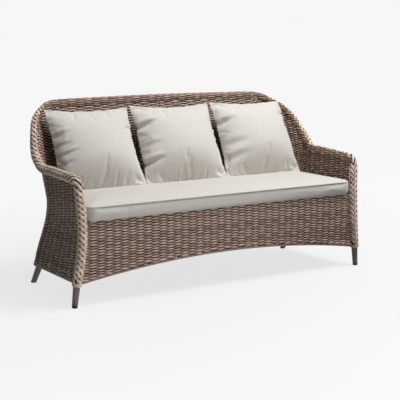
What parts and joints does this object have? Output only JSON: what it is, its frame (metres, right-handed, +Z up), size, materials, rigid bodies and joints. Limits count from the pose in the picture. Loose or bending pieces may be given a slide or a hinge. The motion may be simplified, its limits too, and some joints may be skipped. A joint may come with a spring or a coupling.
{
  "type": "rattan garden sofa",
  "caption": "Garden sofa with a woven shell sweeping from low arms into a tall raked back under a braided rim, on tapered metal legs, with a boxed seat cushion and loose knife-edge pillows.",
  "frame": {"origin": "on the floor, under the middle of the whole sofa's box", "axes": "+X along the sofa to the sitter's left-hand arm as seen from the front on the right, +Y from the front to the back, +Z up"},
  "size_m": [1.6686, 0.7116, 0.8938],
  "materials": {
    "weave": "plain weave of round taupe resin strands",
    "braid": "plaited resin strands, a shade lighter than the weave",
    "frame_metal": "satin brown-grey powder coat",
    "cap_rubber": "matt black",
    "cushion_fabric": "fine plain-woven warm light grey outdoor cloth",
    "piping_fabric": "bias-cut cloth of the cushion over a cord",
    "foam": "open-cell foam and fibre fill",
    "zip_tape": "moulded teeth on woven tape",
    "zip_metal": "satin"
  },
  "bodies": {
    "frame": {"rim_tube": "frame_metal", "braided_roll_back": "braid", "braided_roll_right": "braid", "braided_roll_left": "braid", "front_bottom_tube": "frame_metal", "bottom_ring_tube": "frame_metal", "border_rope_front": "braid", "border_rope_rear": "braid", "wing_upright_right": "frame_metal", "back_upright_right": "frame_metal", "back_upright_centre": "frame_metal", "back_upright_left": "frame_metal", "wing_upright_left": "frame_metal", "woven_side_right": "weave", "woven_wing_right": "weave", "woven_back_right": "weave", "woven_side_left": "weave", "woven_wing_left": "weave", "woven_back_left": "weave", "woven_apron": "weave", "front_seat_rail": "frame_metal", "side_seat_rail_right": "frame_metal", "rear_post_right": "frame_metal", "side_seat_rail_left": "frame_metal", "rear_post_left": "frame_metal", "back_seat_rail": "frame_metal", "seat_bearer_left": "frame_metal", "seat_bearer_centre": "frame_metal", "seat_bearer_right": "frame_metal", "woven_seat_deck": "weave", "leg_front_right": "frame_metal", "foot_cap_front_right": "cap_rubber", "leg_rear_right": "frame_metal", "foot_cap_rear_right": "cap_rubber", "leg_front_left": "frame_metal", "foot_cap_front_left": "cap_rubber", "leg_rear_left": "frame_metal", "foot_cap_rear_left": "cap_rubber"},
    "seat_cushion": {"seat_cushion_cover": "cushion_fabric", "seat_cushion_foam": "foam", "seat_piping_top": "piping_fabric", "seat_piping_bottom": "piping_fabric", "seat_zip_chain": "zip_tape"},
    "zip_slider": {"seat_zip_slider": "zip_metal"},
    "pillow_left": {"pillow_cover_left": "cushion_fabric", "pillow_pad_left": "foam"},
    "pillow_centre": {"pillow_cover_centre": "cushion_fabric", "pillow_pad_centre": "foam"},
    "pillow_right": {"pillow_cover_right": "cushion_fabric", "pillow_pad_right": "foam"}
  },
  "joints": [
    {"name": "seat_cushion_lift", "type": "slide", "parent": "frame", "child": "seat_cushion", "axis": [0, 0, 1], "range_m": [0, 0.25]},
    {"name": "pillow_left_lift", "type": "slide", "parent": "seat_cushion", "child": "pillow_left", "axis": [0, 0, 1], "range_m": [0, 0.3]},
    {"name": "pillow_centre_lift", "type": "slide", "parent": "seat_cushion", "child": "pillow_centre", "axis": [0, 0, 1], "range_m": [0, 0.3]},
    {"name": "pillow_right_lift", "type": "slide", "parent": "seat_cushion", "child": "pillow_right", "axis": [0, 0, 1], "range_m": [0, 0.3]},
    {"name": "zip_slide", "type": "slide", "parent": "seat_cushion", "child": "zip_slider", "axis": [1, 0, 0], "range_m": [0, 0.687]}
  ]
}
